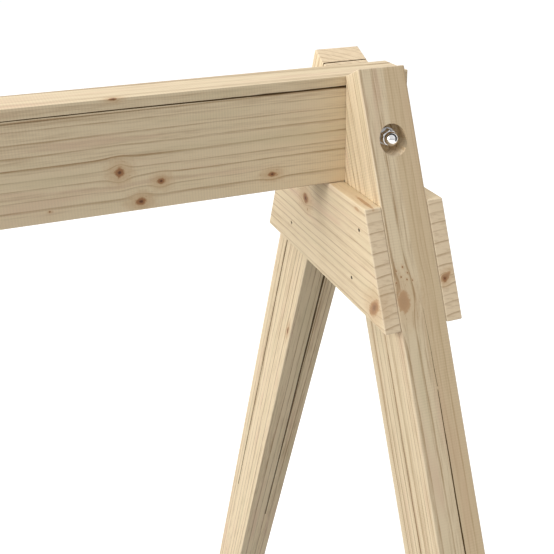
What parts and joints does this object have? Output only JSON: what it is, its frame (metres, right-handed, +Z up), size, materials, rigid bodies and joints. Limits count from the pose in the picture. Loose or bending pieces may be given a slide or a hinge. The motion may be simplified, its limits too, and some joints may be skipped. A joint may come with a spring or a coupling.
{
  "type": "folding sawhorse",
  "caption": "Wooden sawhorse: a beam on edge carried by two splayed leg frames, each turning on a bolt through the beam so that it swings out flat.",
  "frame": {"origin": "on the ground, under the middle of the beam", "axes": "+X along the beam towards its right end, +Y across the beam towards the bolt heads, +Z up"},
  "size_m": [1, 0.7594, 0.7584],
  "materials": {
    "beam_spruce": "planed, unfinished, fine saw marks on the sides",
    "leg_spruce": "planed, unfinished",
    "gusset_spruce": "planed, unfinished, sawn ends",
    "nut_chrome": "polished",
    "zinc_steel": "bright zinc plate",
    "nail_steel": "bare drawn wire"
  },
  "bodies": {
    "beam": {"beam": "beam_spruce"},
    "right_frame": {"right_front_leg": "leg_spruce", "right_rear_leg": "leg_spruce", "right_inner_gusset": "gusset_spruce", "right_outer_gusset": "gusset_spruce", "right_inner_nails": "nail_steel", "right_outer_nails": "nail_steel", "right_pivot_bolt": "zinc_steel", "right_nut_washer": "zinc_steel", "right_cap_nut": "nut_chrome"},
    "left_frame": {"left_front_leg": "leg_spruce", "left_rear_leg": "leg_spruce", "left_inner_gusset": "gusset_spruce", "left_outer_gusset": "gusset_spruce", "left_inner_nails": "nail_steel", "left_outer_nails": "nail_steel", "left_pivot_bolt": "zinc_steel", "left_nut_washer": "zinc_steel", "left_cap_nut": "nut_chrome"}
  },
  "joints": [
    {"name": "right_frame_fold", "type": "hinge", "parent": "beam", "child": "right_frame", "pos_m": [0.47, 0, 0.714], "axis": [0, -1, 0], "range_deg": [0, 90]},
    {"name": "left_frame_fold", "type": "hinge", "parent": "beam", "child": "left_frame", "pos_m": [-0.47, 0, 0.714], "axis": [0, 1, 0], "range_deg": [0, 90]}
  ]
}
